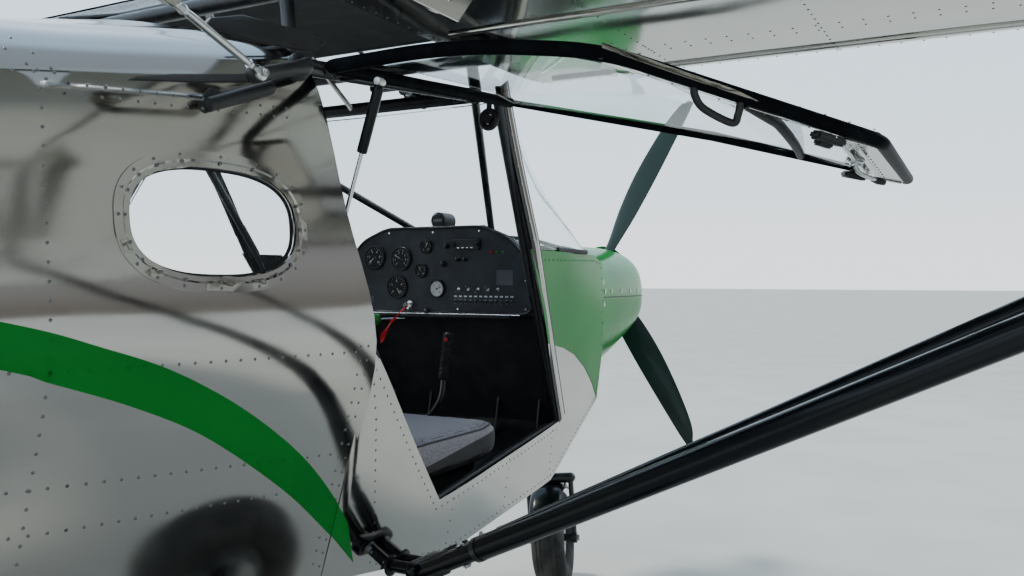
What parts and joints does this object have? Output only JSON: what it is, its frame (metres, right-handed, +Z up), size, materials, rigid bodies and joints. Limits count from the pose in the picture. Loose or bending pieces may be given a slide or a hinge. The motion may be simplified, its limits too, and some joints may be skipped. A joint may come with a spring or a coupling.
{
  "type": "light high-wing aircraft",
  "caption": "Light high-wing aircraft with braced wings, upward-opening clear doors, tricycle gear, front propeller and a metal-clad fuselage.",
  "frame": {"origin": "on the ground, under the middle of the overall length, in the plane of symmetry", "axes": "+X towards the nose, +Y towards the left (port) wing tip, +Z up"},
  "size_m": [6.6, 9, 2.48],
  "materials": {
    "polished_aluminium": "mirror-polished sheet",
    "green_paint": "gloss",
    "black_paint": "satin",
    "black_steel": "satin",
    "clear_glass": "clear",
    "composite": "satin",
    "rubber": "matte",
    "grey_fabric": "matte",
    "panel_black": "matte",
    "cast_metal": "satin",
    "bright_rod": "polished"
  },
  "bodies": {
    "airframe": {"axle_left": "black_steel", "axle_right": "black_steel", "cabin_floor": "polished_aluminium", "cabin_frame": "black_steel", "cabin_side_left": "polished_aluminium", "cabin_side_right": "polished_aluminium", "control_stick": "black_steel", "cowl_lower": "green_paint", "cowl_upper": "green_paint", "engine": "cast_metal", "fin": "polished_aluminium", "firewall": "cast_metal", "flap_linkage_left": "black_paint", "flap_linkage_right": "black_paint", "glareshield": "panel_black", "instrument_panel": "panel_black", "main_gear_leg": "black_steel", "nose_leg": "black_steel", "rear_fuselage": "polished_aluminium", "rear_window_left": "clear_glass", "rear_window_right": "clear_glass", "scuttle_deck": "green_paint", "seat_back_left": "grey_fabric", "seat_back_right": "grey_fabric", "seat_cushion_left": "grey_fabric", "seat_cushion_right": "grey_fabric", "seat_pan": "black_paint", "skylight": "clear_glass", "stabilizer": "polished_aluminium", "strut_fitting_left": "black_steel", "strut_fitting_right": "black_steel", "strut_front_left": "black_paint", "strut_front_right": "black_paint", "strut_rear_left": "black_paint", "strut_rear_right": "black_paint", "windshield": "clear_glass", "wing_left": "polished_aluminium", "wing_right": "polished_aluminium"},
    "propeller_unit": {"propeller": "composite", "spinner": "green_paint"},
    "main_wheel_left": {"main_rim_left": "cast_metal", "main_tyre_left": "rubber"},
    "main_wheel_right": {"main_rim_right": "cast_metal", "main_tyre_right": "rubber"},
    "nose_steering_unit": {"nose_fork": "black_steel", "nose_fender": "black_paint"},
    "nose_wheel": {"nose_rim": "cast_metal", "nose_tyre": "rubber"},
    "door_left": {"door_frame_left": "black_paint", "door_glass_left": "clear_glass"},
    "door_right": {"door_frame_right": "black_paint", "door_glass_right": "clear_glass"},
    "gas_cylinder_left_body": {"gas_cylinder_left": "black_paint"},
    "gas_cylinder_right_body": {"gas_cylinder_right": "black_paint"},
    "gas_rod_left_body": {"gas_rod_left": "bright_rod"},
    "gas_rod_right_body": {"gas_rod_right": "bright_rod"},
    "flaperon_left_body": {"flaperon_left": "polished_aluminium"},
    "flaperon_right_body": {"flaperon_right": "polished_aluminium"},
    "elevator_body": {"elevator": "polished_aluminium"},
    "rudder_body": {"rudder": "green_paint"}
  },
  "joints": [
    {"name": "propeller_spin", "type": "hinge", "parent": "airframe", "child": "propeller_unit", "pos_m": [3.08, 0, 1.33], "axis": [1, 0, 0], "continuous": true},
    {"name": "main_wheel_left_roll", "type": "hinge", "parent": "airframe", "child": "main_wheel_left", "pos_m": [0.62, 1.01, 0.215], "axis": [0, 1, 0], "continuous": true},
    {"name": "main_wheel_right_roll", "type": "hinge", "parent": "airframe", "child": "main_wheel_right", "pos_m": [0.62, -1.01, 0.215], "axis": [0, 1, 0], "continuous": true},
    {"name": "nose_steering", "type": "hinge", "parent": "airframe", "child": "nose_steering_unit", "pos_m": [2.52, 0, 0.56], "axis": [-0.2631, 0, 0.9648], "range_deg": [-38, 2]},
    {"name": "nose_wheel_roll", "type": "hinge", "parent": "nose_steering_unit", "child": "nose_wheel", "pos_m": [2.54833, -0.02182, 0.20091], "axis": [-0.2981, 0.9511, -0.0813], "continuous": true},
    {"name": "door_left_hinge", "type": "hinge", "parent": "airframe", "child": "door_left", "pos_m": [0.39, 0.57685, 1.664], "axis": [-0.9958, 0, -0.092], "range_deg": [0, 82]},
    {"name": "gas_rod_left_pivot", "type": "hinge", "parent": "airframe", "child": "gas_rod_left_body", "pos_m": [0.468, 0.5758, 1.395], "axis": [0.9921, -0.0186, 0.1241], "range_deg": [-1, 30.17]},
    {"name": "gas_cylinder_left_slide", "type": "slide", "parent": "gas_rod_left_body", "child": "gas_cylinder_left_body", "axis": [-0.1073, 0.3872, 0.9158], "range_m": [-0.0906, 0.002]},
    {"name": "door_right_hinge", "type": "hinge", "parent": "airframe", "child": "door_right", "pos_m": [0.39, -0.57685, 1.664], "axis": [0.9958, 0, 0.092], "range_deg": [0, 82]},
    {"name": "gas_rod_right_pivot", "type": "hinge", "parent": "airframe", "child": "gas_rod_right_body", "pos_m": [0.468, -0.5758, 1.395], "axis": [-0.9921, -0.0186, -0.1241], "range_deg": [-1, 30.17]},
    {"name": "gas_cylinder_right_slide", "type": "slide", "parent": "gas_rod_right_body", "child": "gas_cylinder_right_body", "axis": [-0.1073, -0.3872, 0.9158], "range_m": [-0.0906, 0.002]},
    {"name": "flaperon_left_hinge", "type": "hinge", "parent": "airframe", "child": "flaperon_left_body", "pos_m": [0.125, 0.68, 1.684], "axis": [0, 1, 0], "range_deg": [-20, 14]},
    {"name": "flaperon_right_hinge", "type": "hinge", "parent": "airframe", "child": "flaperon_right_body", "pos_m": [0.125, -0.68, 1.684], "axis": [0, 1, 0], "range_deg": [-20, 14]},
    {"name": "elevator_hinge", "type": "hinge", "parent": "airframe", "child": "elevator_body", "pos_m": [-2.76, 0, 1.3803], "axis": [0, 1, 0], "range_deg": [-25, 25]},
    {"name": "rudder_hinge", "type": "hinge", "parent": "airframe", "child": "rudder_body", "pos_m": [-2.92, 0, 1.4106], "axis": [0, 0, 1], "range_deg": [-25, 25]}
  ],
  "couplings": [
    {"joint": "gas_rod_left_pivot", "follows": "door_left_hinge", "ratio": 0.35574},
    {"joint": "gas_cylinder_left_slide", "follows": "door_left_hinge", "m_per_rad": -0.06191},
    {"joint": "gas_rod_right_pivot", "follows": "door_right_hinge", "ratio": 0.35574},
    {"joint": "gas_cylinder_right_slide", "follows": "door_right_hinge", "m_per_rad": -0.06191}
  ]
}
